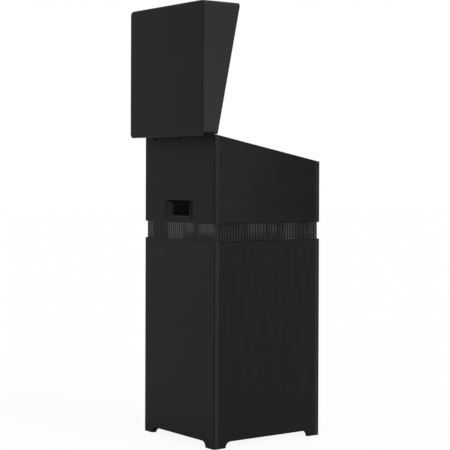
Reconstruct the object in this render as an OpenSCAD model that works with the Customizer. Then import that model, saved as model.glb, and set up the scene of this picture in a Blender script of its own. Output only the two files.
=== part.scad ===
// Self-contained column loudspeaker console: a bass cabinet on bracket feet, a slatted vent band,
// a mixer deck with a sloping rim, and a wedge-shaped lid hinged along the deck's back edge.
// The lid stands open at a right angle. Front is -Y, back is +Y, and the floor is at z = 0.

/* [Cabinets] */
// Width of the cabinets
cab_w = 450; // [420:5:500]
// Depth of the cabinets, front to back
cab_d = 485; // [460:5:520]
// Thickness of the side, top and bottom boards
board_t = 15; // [12:1:18]
// Thickness of the front and back boards, which cover the ends of the side boards
face_t = 20; // [16:1:22]
// Rounding of the upright outer edges
edge_r = 3; // [1:0.5:5]

/* [Bass cabinet] */
// Height of the bass cabinet with its feet
bass_h = 737; // [720:1:800]
// Height of the cut-out between two feet
plinth_h = 22; // [18:1:30]
// Width of a foot at the floor
foot_w = 52; // [40:1:70]
// Thickness of the baffle that carries the drivers
baffle_t = 18; // [15:1:22]
// Width of the frame round the grille
frame_w = 38; // [34:1:44]

/* [Drivers] */
// Radius of the woofer's mounting flange
woofer_r = 150; // [130:1:152]
// Depth of the woofer behind the baffle's face
woofer_deep = 128; // [110:1:160]
// Gap between two column drivers
mid_gap = 2; // [1:0.5:6]
// Inside radius of a reflex port
port_r = 31; // [24:1:34]
// Length of a reflex port
port_len = 140; // [80:5:180]

/* [Front grille] */
// Thickness of the grille's sheet
grille_t = 2; // [1.5:0.5:3]
// Distance between slots
slot_pitch = 10; // [9:0.5:14]
// Width of a slot
slot_w = 5.5; // [3:0.5:6.5]
// Rows of slots, one above the other
slot_rows = 4; // [3:1:6]

/* [Vent band] */
// Height of the band between the cabinets
band_h = 62; // [50:1:80]
// How far the band sits in from the cabinets' faces
band_in = 6.5; // [4:0.5:9]
// Distance between slats
slat_pitch = 12.5; // [10:0.5:16]
// Width of a slat
slat_w = 6; // [4:0.5:8]
// Depth of a slat
slat_t = 5; // [4:0.5:6]
// Height of the rails that the slats end in
slat_rail = 4; // [3:0.5:6]

/* [Deck] */
// Height of the deck at its back, where the lid is hinged
deck_back_h = 320; // [300:1:340]
// Height of the deck at its front
deck_front_h = 226; // [215:1:240]
// Depth of the control panel below the rim
panel_sink = 58; // [48:1:64]
// Thickness of the control panel
panel_t = 2; // [1.5:0.5:3]

/* [Cable port] */
// Width of the port at the back face
mouth_w = 174; // [150:2:190]
// Height of the port at the back face
mouth_h = 70; // [60:1:76]
// Width of the port's throat
throat_w = 105; // [90:1:115]
// Height of the port's throat
throat_h = 44; // [36:1:48]
// Depth of the slanting faces
flare_d = 8; // [5:0.5:12]
// Height of the port's centre above the deck's underside
port_up = 48; // [44:1:60]

/* [Lid] */
// How far the open lid stands out behind the deck
lid_over = 61.6; // [55:0.1:70]
// Length of the lid above the hinge edge
lid_len = 470; // [450:1:474]
// How far the lid's outer face reaches below the hinge edge
lid_drop = 8.5; // [6:0.5:11]
// Depth of the lid's far end, from its outer face to its edge
lid_far = 162.4; // [155:0.1:163]
// Thickness of the lid's walls
lid_wall = 12; // [9:1:14]
// Clearance between a lid cheek and the deck's side
lid_gap = 1.5; // [1:0.1:3]
// Corner radius of the lid seen from behind
lid_corner = 16; // [12:1:24]
// Rounding round the lid's outer face
lid_round = 7; // [4:1:10]

/* [Lid hinge] */
// Radius of the hinge pin
pin_r = 1.6; // [1.2:0.1:2]
// Outside radius of a knuckle
knuckle_r = 3.2; // [3:0.1:4]
// Thickness of a hinge leaf
leaf_t = 1.5; // [1:0.1:2]
// Width of a hinge leaf
leaf_w = 26; // [20:1:32]
// Knuckles along the hinge, an odd number
knuckles = 11; // [7:2:15]
// Length of the hinge
hinge_len = 440; // [380:5:446]

/* [Controls] */
// Distance between channel strips
strip_pitch = 70; // [60:1:74]
// Radius of a rotary knob
knob_r = 10; // [8:0.5:12]
// Height of a rotary knob
knob_h = 16; // [12:1:20]
// Travel of a fader
fader_travel = 60; // [40:5:80]
// Side of a mute button
mute_w = 9; // [7:0.5:11]
// Travel of a mute button
mute_travel = 2.5; // [1.5:0.5:3]
// Radius of a jack socket's bore
jack_r = 3.25; // [3.2:0.01:3.3]
// Tilt of the power rocker at rest
rocker_tilt = 9; // [6:1:12]

/* [Hidden] */
$fn = 64;

// Colours of the finishes
satin_black = [0.16, 0.16, 0.165];
board_black = [0.14, 0.14, 0.14];
steel_black = [0.2, 0.2, 0.2];
bare_steel = [0.6, 0.6, 0.62];

// Clearances: between a moving piece and the piece beside it, and of a pin in its bore
gap = 0.3;
run = 0.05;
cut = 1;

// Places of the cabinets: the origin is under the middle of the whole, open lid included
mid_y = -lid_over / 2;
half_w = cab_w / 2;
half_d = cab_d / 2;
in_x = half_w - board_t;
in_y = half_d - face_t;
band_z = bass_h;
deck_z = bass_h + band_h;
rim_back_z = deck_z + deck_back_h;
slope = atan((deck_back_h - deck_front_h) / cab_d);

// Bass cabinet
bottom_z = plinth_h + 3;
baffle_y = -in_y;
opening_w = cab_w - 2 * frame_w;
opening_low = plinth_h + frame_w;
opening_h = bass_h - frame_w - opening_low;
opening_r = 14;
grille_gap = 1;
grille_inset = 3;
driver_gap = 4;
mids = 4;
driver_edge = grille_gap + grille_t + driver_gap;
woofer_hole = woofer_r - 12;
woofer_seat = 0.41 * woofer_r;
woofer_z = opening_low + driver_edge + woofer_r;
mid_low = woofer_z + woofer_r + driver_gap;
mid_pitch = (opening_low + opening_h - driver_edge - mid_low) / mids;
mid_r = (mid_pitch - mid_gap) / 2;
mid_hole = mid_r - 6;
mid_seat = 0.53 * mid_r;
mid_z = mid_low + mid_pitch / 2;
port_wall = 3;
port_lip = 10;
port_x = opening_w / 2 - driver_edge - port_r - port_lip;
port_z = mid_z + mid_pitch;
flange_t = 4;
bolt_x = in_x - 45;
bolt_y = in_y - 45;
bolt_r = 4;
bolt_hole_r = 4.5;

// Vent band
band_x = half_w - band_in;
band_y = half_d - band_in;
spacer_x = band_x - slat_t - 4;
spacer_y = band_y - slat_t - 4;

// Control panel, in its own frame: x across, y up the slope, z out of the panel
panel_z = deck_z + (deck_back_h + deck_front_h) / 2 - panel_sink / cos(slope);
panel_l = 2 * (in_y - 2) / cos(slope);
panel_half_w = in_x - 0.5;
cleat = 12;
pcb_z = -22;
pcb_t = 1.6;
strips = 3;
strip_x = -2.1 * strip_pitch;
socket_y = panel_l / 2 - 52.6;
gain_y = socket_y - 54;
tone_y = gain_y - 50;
mute_y = tone_y - 44;
fader_y = mute_y - 106;
master_x = strip_x + strips * strip_pitch;
rocker_x = master_x + 82;
rocker_y = socket_y - 22;
stem_r = 3;
bush_r = 6;
fader_cap_w = 10;
fader_cap_l = 20;
fader_stem_w = 1.6;
fader_stem_l = 6;
rocker_w = 14;
rocker_l = 24;
rocker_r = 16;
rocker_play = 1.4;

// Amplifier tray on the deck's bottom board
tray_w = in_x;
tray_l = 190;
tray_x = 60 - tray_w;
tray_y = -130;
tray_h = 40;
tray_up = 10;
sheet_t = 2;
coil_core_r = 18;
coil_w = 40;
coil_h = 44;
coil_x = tray_x + tray_w + coil_core_r + coil_w + 12;
coil_y = -40;
bracket_w = 160;
bracket_h = 76;
bracket_y = in_y - 100;
inlet_w = 28;
inlet_h = 22;
inlet_up = 22;

// Lid, in its own frame: u is the distance inwards from the deck's back face, v the height above
// the hinge edge. The lid's cheeks pass outside the deck's sides when it is closed.
lid_half_w = half_w + lid_gap + lid_wall;
lid_in_u = 3;
lid_in_v = lid_in_u * tan(slope) + 3.4;
lid_far_u = lid_far - lid_over;
lid_tilt = atan((lid_in_v + lid_drop) / (lid_in_u + lid_over));
knuckle_gap = knuckle_r + gap;
hinge_u = -knuckle_gap;
hinge_v = lid_in_v - (lid_in_u - hinge_u) * tan(lid_tilt) - knuckle_gap / cos(lid_tilt);
end_u = hinge_u - 1.5;
catch_x = 120;
lining_t = 8;
lid_in_r = 6;
plate_t = 3;
// The edge of the lid's far board, 1 mm above the deck's sides when the lid is shut
far_end_u = hinge_u + hinge_v + (hinge_u - hinge_v + lid_len - lid_wall - lid_in_r) * tan(slope) - 1;
// The depth below the hinge edge of the catch plates when the lid is shut
shut_plate_drop = far_end_u + plate_t - hinge_u - hinge_v;

function rim_z(y) = rim_back_z - (half_d - y) * tan(slope);
function strip(n) = strip_x + (n - 1) * strip_pitch;

// ---- frames ----

module at_body() {
    translate([0, mid_y, 0]) children();
}

module at_panel() {
    translate([0, mid_y, panel_z]) rotate([slope, 0, 0]) children();
}

// The lid's frame turned so that x is across, y is u and z is v
module at_hinge_edge() {
    translate([0, mid_y + half_d, rim_back_z]) mirror([0, 1, 0]) children();
}

// ---- shapes ----

module round_rect(w, h, r) {
    square([w - 2 * r, h], center = true);
    square([w, h - 2 * r], center = true);
    for (x = [-1, 1]) for (y = [-1, 1])
        translate([x * (w / 2 - r), y * (h / 2 - r)]) circle(r);
}

// The arch between two feet: straight top, round haunches, open below
module plinth_cut(w) {
    r = plinth_h;
    translate([-w / 2 + foot_w + r, -cut]) square([w - 2 * foot_w - 2 * r, r + cut]);
    intersection() {
        translate([-w / 2 + foot_w, -cut]) square([w - 2 * foot_w, r + cut]);
        for (s = [-1, 1]) translate([s * (w / 2 - foot_w - r), 0]) {
            circle(r);
            translate([-r, -cut]) square([2 * r, cut]);
        }
    }
}

// Stands an outline drawn in x and z upright, from its face towards +y
module upright(t) {
    translate([0, t, 0]) rotate([90, 0, 0]) linear_extrude(t) children();
}

// Stands an outline drawn in y and z upright, from its face towards +x
module sideways(t) {
    rotate([90, 0, 90]) linear_extrude(t) children();
}

// A front or back board: its two outer upright edges are rounded
module face_board(h) {
    linear_extrude(h) difference() {
        translate([-half_w, 0]) square([cab_w, face_t]);
        for (s = [-1, 1]) difference() {
            translate([s * (half_w - edge_r / 2 + cut / 2), face_t - edge_r / 2 + cut / 2])
                square(edge_r + cut, center = true);
            translate([s * (half_w - edge_r), face_t - edge_r]) circle(edge_r);
        }
    }
}

module bolt_places() {
    for (x = [-1, 1]) for (y = [-1, 1]) translate([x * bolt_x, y * bolt_y, 0]) children();
}

// ---- bass cabinet ----

module bass_side() {
    color(board_black) at_body() difference() {
        translate([in_x, -in_y, 0]) cube([board_t, 2 * in_y, bass_h]);
        translate([in_x - cut, 0, 0]) sideways(board_t + 2 * cut) plinth_cut(cab_d);
    }
}

module bass_left_side() {
    mirror([1, 0, 0]) bass_side();
}

module bass_right_side() {
    bass_side();
}

module bass_back_board() {
    color(satin_black) at_body() difference() {
        translate([0, in_y, 0]) face_board(bass_h);
        translate([0, in_y - cut, 0]) upright(face_t + 2 * cut) plinth_cut(cab_w);
    }
}

module bass_front_frame() {
    color(satin_black) at_body() difference() {
        mirror([0, 1, 0]) translate([0, in_y, 0]) face_board(bass_h);
        translate([0, -half_d - cut, 0]) upright(face_t + 2 * cut) {
            plinth_cut(cab_w);
            translate([0, opening_low + opening_h / 2]) round_rect(opening_w, opening_h, opening_r);
        }
    }
}

module bass_bottom_board() {
    color(board_black) at_body() translate([-in_x, -in_y, bottom_z]) cube([2 * in_x, 2 * in_y, board_t]);
}

// The top board has the four bolt holes and the hole for the loudspeaker leads
module bass_top_board() {
    color(board_black) at_body() translate([0, 0, bass_h - board_t]) difference() {
        translate([-in_x, -in_y, 0]) cube([2 * in_x, 2 * in_y, board_t]);
        translate([0, 0, -cut]) {
            bolt_places() cylinder(h = board_t + 2 * cut, r = bolt_hole_r);
            cylinder(h = board_t + 2 * cut, r = 18);
        }
    }
}

module driver_baffle() {
    low = bottom_z + board_t;
    color(board_black) at_body() translate([0, baffle_y, 0]) upright(baffle_t) difference() {
        translate([-in_x, low]) square([2 * in_x, bass_h - board_t - low]);
        translate([0, woofer_z]) circle(woofer_hole);
        for (i = [0 : mids - 1]) translate([0, mid_z + i * mid_pitch]) circle(mid_hole);
        for (s = [-1, 1]) translate([s * port_x, port_z]) circle(port_r + port_wall);
    }
}

// Pressed sheet with rows of upright slots and a folded rim that stands on the baffle
module front_grille() {
    w = opening_w - 2 * grille_gap;
    h = opening_h - 2 * grille_gap;
    r = opening_r - grille_gap;
    border = 12;
    bar = 8;
    cols = floor((w - 2 * border + slot_pitch - slot_w) / slot_pitch);
    slot_l = (h - 2 * border - (slot_rows - 1) * bar) / slot_rows;
    face_y = -half_d + grille_inset;
    color(steel_black) at_body() translate([0, 0, opening_low + opening_h / 2]) {
        translate([0, face_y, 0]) upright(grille_t) difference() {
            round_rect(w, h, r);
            for (c = [0 : cols - 1]) for (k = [0 : slot_rows - 1])
                translate([(c - (cols - 1) / 2) * slot_pitch, (k - (slot_rows - 1) / 2) * (slot_l + bar)])
                    square([slot_w, slot_l], center = true);
        }
        translate([0, face_y + grille_t, 0]) upright(baffle_y - face_y - grille_t) difference() {
            round_rect(w, h, r);
            round_rect(w - 2 * grille_t, h - 2 * grille_t, r - grille_t);
        }
    }
}

// Turns a driver's profile, drawn as radius and depth, to face the front
module at_driver(z) {
    at_body() translate([0, baffle_y, z]) rotate([-90, 0, 0]) children();
}

// Cast basket: flange, four sloping arms and the seat for the motor
module woofer_basket() {
    arm_t = 4;
    arm_gap = woofer_r / 2;
    depth = woofer_deep - 46;
    color(steel_black) at_driver(woofer_z) {
        difference() {
            rotate_extrude() polygon([
                [woofer_hole - 6, -flange_t], [woofer_r, -flange_t], [woofer_r, 0], [woofer_hole - gap, 0],
                [woofer_hole - gap, 12], [woofer_seat + 6, depth], [30, depth], [30, depth - arm_t],
                [woofer_seat, depth - arm_t], [woofer_hole - 6, 10]
            ]);
            for (a = [45 : 90 : 315]) rotate([0, 0, a]) translate([woofer_seat + 4, -arm_gap / 2, 16])
                cube([woofer_r, arm_gap, depth - arm_t - 20]);
        }
    }
}

module woofer_motor() {
    depth = woofer_deep - 46;
    color(bare_steel) at_driver(woofer_z) translate([0, 0, depth]) {
        cylinder(h = 6, r = 52);
        translate([0, 0, 6]) cylinder(h = 24, r = 66);
        translate([0, 0, 30]) cylinder(h = 8, r = 52);
        difference() {
            translate([0, 0, 38]) cylinder(h = 8, r1 = 48, r2 = 40);
            translate([0, 0, 36]) cylinder(h = 20, r = 12);
        }
    }
}

// Paper cone with its half-roll surround and dust cap, glued to the basket's flange
module woofer_cone() {
    rim = woofer_hole - 8;
    roll = 9;
    inner = rim - 2 * roll;
    color([0.1, 0.1, 0.1]) at_driver(woofer_z) rotate_extrude() difference() {
        union() {
            translate([rim - roll, -flange_t - 1]) circle(roll);
            translate([rim - 3, -flange_t - 2]) square([11, 2]);
            polygon([
                [inner - 2, -flange_t - 2], [inner + 2, -flange_t - 1], [26, 58], [26, 72], [24, 72], [24, 56]
            ]);
            polygon([[0, 40], [20, 44], [36, 54], [34, 56], [20, 47], [0, 43]]);
        }
        translate([rim - roll, -flange_t - 1]) circle(roll - 1.5);
        translate([inner + 2, -flange_t]) square([2 * roll - 4, 12]);
    }
}

// Small full-range driver: pressed flange, cone behind its roll surround, and motor
module column_driver(n) {
    depth = 34;
    color(steel_black) at_driver(mid_z + (n - 1) * mid_pitch) {
        rotate_extrude() polygon([
            [mid_hole - 3, -3], [mid_r, -3], [mid_r, 0], [mid_hole - gap, 0], [mid_hole - gap, 8],
            [mid_seat, depth], [0, depth], [0, 14], [10, 16], [14, 12], [mid_hole - 8, -1], [mid_hole - 5, -4]
        ]);
        translate([0, 0, depth]) cylinder(h = 16, r = mid_seat + 4);
    }
}

module port_tubes() {
    color([0.1, 0.1, 0.1]) at_body() for (s = [-1, 1])
        translate([s * port_x, baffle_y, port_z]) rotate([-90, 0, 0]) difference() {
            union() {
                translate([0, 0, -3]) cylinder(h = 3, r = port_r + port_lip);
                cylinder(h = port_len, r = port_r + port_wall - gap / 2);
            }
            translate([0, 0, -4]) cylinder(h = port_len + 5, r = port_r);
            translate([0, 0, -3 - gap]) cylinder(h = 6, r1 = port_r + port_lip - 4, r2 = port_r);
        }
}

// Board on spacers with two air coils and three capacitors
module crossover_board() {
    w = 160;
    l = 100;
    up = 8;
    top = up + 2;
    color([0.1, 0.3, 0.18]) at_body() translate([0, 60, bottom_z + board_t]) {
        for (x = [-1, 1]) for (y = [-1, 1]) translate([x * (w / 2 - 8), y * (l / 2 - 8), 0])
            cylinder(h = up, r = 4);
        translate([-w / 2, -l / 2, up]) cube([w, l, top - up]);
        air_coil(-w / 4, 0, top, 26, 30);
        air_coil(w / 4, 18, top, 18, 22);
        for (x = [20, 40, 60]) translate([x, 6 - l / 2, top]) cube([14, 34, 16]);
    }
}

module air_coil(x, y, z, h, r) {
    translate([x, y, z]) difference() {
        cylinder(h = h, r = r);
        translate([0, 0, -cut]) cylinder(h = h + 2 * cut, r = 0.45 * r);
    }
}

// ---- vent band ----

// Frame of boards that carries the deck. Each side has its air slot in the half away from the
// next one's, so that no line of sight passes through two of them.
module band_spacer() {
    end_w = 40;
    slot_h = band_h / 3;
    color([0.09, 0.09, 0.09]) at_body() translate([0, 0, band_z]) difference() {
        translate([-spacer_x, -spacer_y, 0]) cube([2 * spacer_x, 2 * spacer_y, band_h]);
        translate([-spacer_x + board_t, -spacer_y + board_t, -cut])
            cube([2 * (spacer_x - board_t), 2 * (spacer_y - board_t), band_h + 2 * cut]);
        for (a = [0, 180]) rotate([0, 0, a]) translate([0, 0, slot_h]) {
            translate([0, spacer_y - board_t - cut, 0])
                cube([spacer_x - end_w, board_t + 2 * cut, slot_h]);
            translate([-spacer_x - cut, 0, 0])
                cube([board_t + 2 * cut, spacer_y - end_w, slot_h]);
        }
    }
}

// One run of upright slats between two rails, drawn in x and z about its middle
module slat_run(length) {
    n = floor((length - slat_w) / slat_pitch);
    open_w = slat_pitch - slat_w;
    difference() {
        translate([-length / 2, 0]) square([length, band_h]);
        for (i = [0 : n - 1])
            translate([(i - (n - 1) / 2) * slat_pitch - open_w / 2, slat_rail])
                square([open_w, band_h - 2 * slat_rail]);
    }
}

module band_slats_back() {
    color(steel_black) at_body() translate([0, band_y - slat_t, band_z]) upright(slat_t) slat_run(2 * band_x);
}

module band_slats_front() {
    color(steel_black) at_body() translate([0, -band_y, band_z]) upright(slat_t) slat_run(2 * band_x);
}

module band_slats_right() {
    color(steel_black) at_body() translate([band_x - slat_t, 0, band_z])
        sideways(slat_t) slat_run(2 * (band_y - slat_t));
}

module band_slats_left() {
    mirror([1, 0, 0]) band_slats_right();
}

// ---- deck ----

module rim_outline(y0, y1) {
    polygon([[y0, deck_z], [y1, deck_z], [y1, rim_z(y1)], [y0, rim_z(y0)]]);
}

module deck_right_side() {
    color(board_black) at_body() translate([in_x, 0, 0]) sideways(board_t) rim_outline(-in_y, in_y);
}

module deck_left_side() {
    mirror([1, 0, 0]) deck_right_side();
}

// What stands above the sloping rim
module above_rim() {
    translate([0, half_d, rim_back_z]) rotate([slope, 0, 0])
        translate([-half_w - cut, -1.2 * cab_d, 0]) cube([cab_w + 2 * cut, 1.4 * cab_d, 200]);
}

module deck_back_board() {
    color(satin_black) at_body() difference() {
        translate([0, in_y, deck_z]) face_board(deck_back_h + cut);
        above_rim();
        translate([0, in_y - cut, deck_z + port_up]) upright(face_t + 2 * cut)
            square([mouth_w, mouth_h], center = true);
    }
}

module deck_front_board() {
    color(satin_black) at_body() difference() {
        mirror([0, 1, 0]) translate([0, in_y, deck_z]) face_board(deck_front_h + face_t);
        above_rim();
    }
}

// The deck's bottom has the bolt holes, the hole for the leads and two rows of air slots
module deck_bottom_board() {
    color(board_black) at_body() translate([0, 0, deck_z]) difference() {
        translate([-in_x, -in_y, 0]) cube([2 * in_x, 2 * in_y, board_t]);
        translate([0, 0, -cut]) {
            bolt_places() cylinder(h = board_t + 2 * cut, r = bolt_hole_r);
            cylinder(h = board_t + 2 * cut, r = 18);
            for (x = [-1, 1]) for (i = [-3 : 3])
                translate([x * (in_x - 28) - 10, i * 40 - 6, 0]) cube([20, 12, board_t + 2 * cut]);
        }
    }
}

// Frame let into the back board: four slanting faces lead to a straight throat
module cable_port_frame() {
    color([0.1, 0.1, 0.1]) at_body() translate([0, half_d, deck_z + port_up]) difference() {
        translate([-mouth_w / 2, -face_t, -mouth_h / 2]) cube([mouth_w, face_t, mouth_h]);
        translate([-throat_w / 2, -face_t - cut, -throat_h / 2]) cube([throat_w, face_t + cut, throat_h]);
        hull() {
            translate([0, -flare_d, 0]) upright(0.01) square([throat_w, throat_h], center = true);
            translate([0, 0, 0]) upright(cut) square([mouth_w - 3, mouth_h - 3], center = true);
        }
    }
}

module control_panel() {
    color(steel_black) at_panel() difference() {
        translate([-panel_half_w, -panel_l / 2, -panel_t]) cube([2 * panel_half_w, panel_l, panel_t]);
        translate([0, 0, -panel_t - cut]) {
            for (n = [1 : strips]) {
                translate([strip(n), socket_y, 0]) cylinder(h = panel_t + 2 * cut, r = bush_r + gap);
                translate([strip(n), gain_y, 0]) cylinder(h = panel_t + 2 * cut, r = stem_r + 1);
                translate([strip(n), tone_y, 0]) cylinder(h = panel_t + 2 * cut, r = stem_r + 1);
                translate([strip(n), mute_y, (panel_t + 2 * cut) / 2])
                    cube([mute_w + 1, mute_w + 1, panel_t + 2 * cut], center = true);
            }
            for (n = [1 : strips + 1]) translate([strip(n), fader_y, (panel_t + 2 * cut) / 2])
                cube([3, fader_travel + fader_stem_l + 4, panel_t + 2 * cut], center = true);
            translate([rocker_x, rocker_y, (panel_t + 2 * cut) / 2])
                cube([rocker_w + 4, rocker_l + 4, panel_t + 2 * cut], center = true);
        }
    }
}

// Two wooden strips glued to the deck's sides, under the panel's long edges
module panel_cleats() {
    color(board_black) at_panel() for (s = [-1, 1])
        translate([s * (in_x - cleat / 2) - cleat / 2, -panel_l / 2 + 6, -panel_t - cleat])
            cube([cleat, panel_l - 12, cleat]);
}

// Circuit board with the bodies of the rotary controls, switches and faders soldered to it
module mixer_board() {
    top = -panel_t - 1;
    width = strips * strip_pitch + 64;
    low_y = fader_y - fader_travel / 2 - 20;
    color([0.1, 0.3, 0.18]) at_panel() {
        translate([strip_x - 36, low_y, pcb_z - pcb_t]) cube([width, gain_y + 24 - low_y, pcb_t]);
        for (n = [1 : strips]) {
            for (y = [gain_y, tone_y]) translate([strip(n), y, pcb_z]) difference() {
                cylinder(h = top - pcb_z, r = 8.5);
                translate([0, 0, 4]) cylinder(h = top - pcb_z, r = stem_r + run);
            }
            translate([strip(n), mute_y, pcb_z]) difference() {
                translate([-mute_w / 2 - 2, -mute_w / 2 - 2, 0]) cube([mute_w + 4, mute_w + 4, top - pcb_z]);
                translate([-mute_w / 2 - gap, -mute_w / 2 - gap, 6])
                    cube([mute_w + 2 * gap, mute_w + 2 * gap, top - pcb_z]);
            }
        }
        for (n = [1 : strips + 1]) translate([strip(n), fader_y, pcb_z]) difference() {
            translate([-7, -fader_travel / 2 - 14, 0]) cube([14, fader_travel + 28, top - pcb_z]);
            translate([-fader_stem_w / 2 - gap, -(fader_travel + fader_stem_l) / 2 - 1, 6])
                cube([fader_stem_w + 2 * gap, fader_travel + fader_stem_l + 2, top - pcb_z]);
        }
        // Spacers that hang the board from the panel
        for (x = [strip_x - 30, master_x + 22]) for (y = [low_y + 6, gain_y + 18])
            translate([x, y, pcb_z]) cylinder(h = -panel_t - pcb_z, r = 3.5);
    }
}

// Three jack sockets: a nut on the panel, a bush through it and a body behind it
module input_sockets() {
    deep = 22;
    color([0.13, 0.13, 0.13]) at_panel() for (n = [1 : strips])
        translate([strip(n), socket_y, 0]) difference() {
            union() {
                cylinder(h = 3, r = 8.5);
                translate([0, 0, -panel_t]) cylinder(h = panel_t + 1, r = bush_r);
                translate([-9, -9, -deep]) cube([18, 18, deep - panel_t]);
            }
            translate([0, 0, -deep + 3]) cylinder(h = deep + 3, r = jack_r);
        }
}

// Snap-in frame of the power switch, with the two ears that the rocker turns in
module power_switch_frame() {
    color([0.1, 0.1, 0.1]) at_panel() translate([rocker_x, rocker_y, 0]) difference() {
        union() {
            translate([-rocker_w / 2 - 4, -rocker_l / 2 - 4, 0]) cube([rocker_w + 8, rocker_l + 8, 2]);
            translate([-rocker_w / 2 - 2, -rocker_l / 2 - 2, -18]) cube([rocker_w + 4, rocker_l + 4, 18]);
        }
        translate([-rocker_w / 2 - gap, -rocker_l / 2 - 0.6, -16])
            cube([rocker_w + 2 * gap, rocker_l + 1.2, 20]);
        translate([0, 0, -6]) rotate([0, 90, 0])
            cylinder(h = rocker_w + 3, r = 1.5 + run, center = true);
    }
}

// ---- electronics in the deck ----

// Open tray with the amplifier's board on spacers and its four reservoir capacitors
module amplifier_tray() {
    edge = 8;
    post_r = 4;
    can_r = 12;
    can_h = 28;
    can_pitch = 38;
    color(bare_steel) at_body() translate([tray_x, tray_y, deck_z + board_t]) {
        difference() {
            cube([tray_w, tray_l, tray_h]);
            translate([sheet_t, sheet_t, sheet_t]) cube([tray_w - 2 * sheet_t, tray_l - 2 * sheet_t, tray_h]);
        }
        for (x = [edge + post_r, tray_w - edge - 3 * post_r])
            for (y = [edge + post_r, tray_l - edge - 3 * post_r])
                translate([x, y, sheet_t]) cylinder(h = tray_up - sheet_t, r = post_r);
        translate([edge, edge, tray_up - 2]) cube([tray_w - 2 * edge, tray_l - 2 * edge, 2]);
        for (i = [0 : 3])
            translate([tray_w - 5 * can_r, 3 * can_r + i * can_pitch, tray_up]) cylinder(h = can_h, r = can_r);
    }
}

module heat_sink() {
    fins = 12;
    w = 110;
    l = 160;
    base_t = 5;
    fin_t = 2;
    fin_h = 24;
    inset = 10;
    color([0.12, 0.12, 0.12]) at_body()
        translate([tray_x + inset, tray_y + inset, deck_z + board_t + tray_up]) {
            cube([w, l, base_t]);
            for (i = [0 : fins - 1])
                translate([i * (w - fin_t) / (fins - 1), 0, base_t]) cube([fin_t, l, fin_h]);
        }
}

module transformer() {
    color([0.5, 0.42, 0.2]) at_body() translate([coil_x, coil_y, deck_z + board_t]) rotate_extrude()
        translate([coil_core_r, 0]) difference() {
            square([coil_w, coil_h]);
            for (z = [0, coil_h]) translate([coil_w, z]) rotate(45) square(coil_w / 4, center = true);
        }
}

// Upright bracket behind the cable port, which holds the mains inlet where a hand can reach it
module connector_bracket() {
    foot_l = 30;
    color(bare_steel) at_body() translate([0, bracket_y, deck_z + board_t]) difference() {
        union() {
            translate([-bracket_w / 2, 0, 0]) cube([bracket_w, sheet_t, bracket_h]);
            translate([-bracket_w / 2, -foot_l, 0]) cube([bracket_w, foot_l, sheet_t]);
        }
        translate([-inlet_w, -cut, inlet_up]) cube([inlet_w, sheet_t + 2 * cut, inlet_h]);
    }
}

module mains_inlet() {
    inlet_l = 20;
    lip_x = 5;
    lip_z = 4;
    wall_x = 2;
    wall_z = 2.5;
    mid_up = inlet_up + inlet_h / 2;
    color([0.08, 0.08, 0.08]) at_body()
        translate([-inlet_w / 2, bracket_y + sheet_t, deck_z + board_t + mid_up]) difference() {
            union() {
                translate([-inlet_w / 2 - lip_x, 0, -inlet_h / 2 - lip_z])
                    cube([inlet_w + 2 * lip_x, 3, inlet_h + 2 * lip_z]);
                translate([-inlet_w / 2, -inlet_l, -inlet_h / 2]) cube([inlet_w, inlet_l, inlet_h]);
            }
            translate([-inlet_w / 2 + wall_x, 5 - inlet_l, -inlet_h / 2 + wall_z])
                cube([inlet_w - 2 * wall_x, inlet_l, inlet_h - 2 * wall_z]);
        }
}

// ---- lid hinge ----

module knuckle_row(first) {
    step = hinge_len / knuckles;
    for (i = [first : 2 : knuckles - 1]) translate([-hinge_len / 2 + i * step + gap / 2, hinge_u, hinge_v])
        rotate([0, 90, 0]) cylinder(h = step - gap, r = knuckle_r);
}

// Room for the other leaf's knuckles
module knuckle_room(first) {
    step = hinge_len / knuckles;
    for (i = [first : 2 : knuckles - 1]) translate([-hinge_len / 2 + i * step - gap / 2, hinge_u, hinge_v])
        rotate([0, 90, 0]) cylinder(h = step + gap, r = knuckle_gap + gap);
}

module hinge_bore() {
    translate([0, hinge_u, hinge_v]) rotate([0, 90, 0])
        cylinder(h = hinge_len + 2 * cut, r = pin_r + run, center = true);
}

module deck_hinge_leaf() {
    color(steel_black) at_hinge_edge() difference() {
        union() {
            difference() {
                translate([-hinge_len / 2, -leaf_t, hinge_v - leaf_w]) cube([hinge_len, leaf_t, leaf_w]);
                knuckle_room(1);
            }
            knuckle_row(0);
        }
        hinge_bore();
    }
}

// The lid's leaf carries stop lugs that lie against the deck's leaf when the lid is open
module lid_hinge_leaf() {
    step = hinge_len / knuckles;
    lug_w = step / 2;
    lug_l = 15;
    color(steel_black) at_hinge_edge() difference() {
        union() {
            difference() {
                translate([0, hinge_u, hinge_v]) rotate([lid_tilt, 0, 0])
                    translate([-hinge_len / 2, -leaf_w, knuckle_gap - leaf_t])
                        cube([hinge_len, leaf_w, leaf_t]);
                knuckle_room(0);
            }
            knuckle_row(1);
            for (i = [1 : 4 : knuckles - 1])
                translate([-hinge_len / 2 + (i + 0.5) * step - lug_w / 2, hinge_u - 1, hinge_v - lug_l])
                    cube([lug_w, 1 - hinge_u - leaf_t - gap, lug_l]);
        }
        hinge_bore();
    }
}

module hinge_pin() {
    color(steel_black) at_hinge_edge() translate([0, hinge_u, hinge_v]) rotate([0, 90, 0])
        cylinder(h = hinge_len, r = pin_r, center = true);
}

// ---- lid ----

// Block with round corners whose outer face has a soft edge all round
module lid_block() {
    h = lid_len + lid_drop;
    mid_v = (lid_len - lid_drop) / 2;
    ring = lid_corner - lid_round;
    $fn = 32;
    translate([0, 0, mid_v]) hull() for (x = [-1, 1]) for (z = [-1, 1])
        translate([x * (lid_half_w - lid_corner), 0, z * (h / 2 - lid_corner)]) {
            translate([0, -lid_over + lid_round, 0]) rotate([90, 0, 0]) rotate_extrude()
                translate([ring, 0]) circle(lid_round);
            translate([0, lid_far_u, 0]) rotate([90, 0, 0]) cylinder(h = 1, r = lid_corner);
        }
}

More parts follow.
